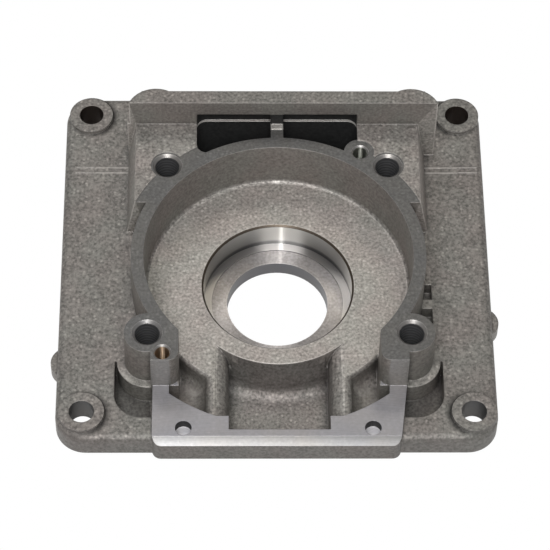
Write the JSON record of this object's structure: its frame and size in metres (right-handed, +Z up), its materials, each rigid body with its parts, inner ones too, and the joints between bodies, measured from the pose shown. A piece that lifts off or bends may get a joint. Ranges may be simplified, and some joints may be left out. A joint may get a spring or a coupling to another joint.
{
  "type": "die cast housing",
  "caption": "Die cast aluminium bearing housing with a flange, a raised pocket, threaded bosses and a milled front platform.",
  "frame": {"origin": "on the bearing bore axis, at the mouth of the bearing seat, which is the level of the pocket floor", "axes": "+Z along the bore axis, out of the open pocket; -Y towards the milled platform; +X to the right of the pocket seen from the platform side with +Z up"},
  "size_m": [0.1551, 0.1501, 0.048],
  "materials": {
    "casting": "die cast, shot blasted, with machined faces and bores"
  },
  "bodies": {
    "root": {"housing": "casting"}
  },
  "joints": []
}
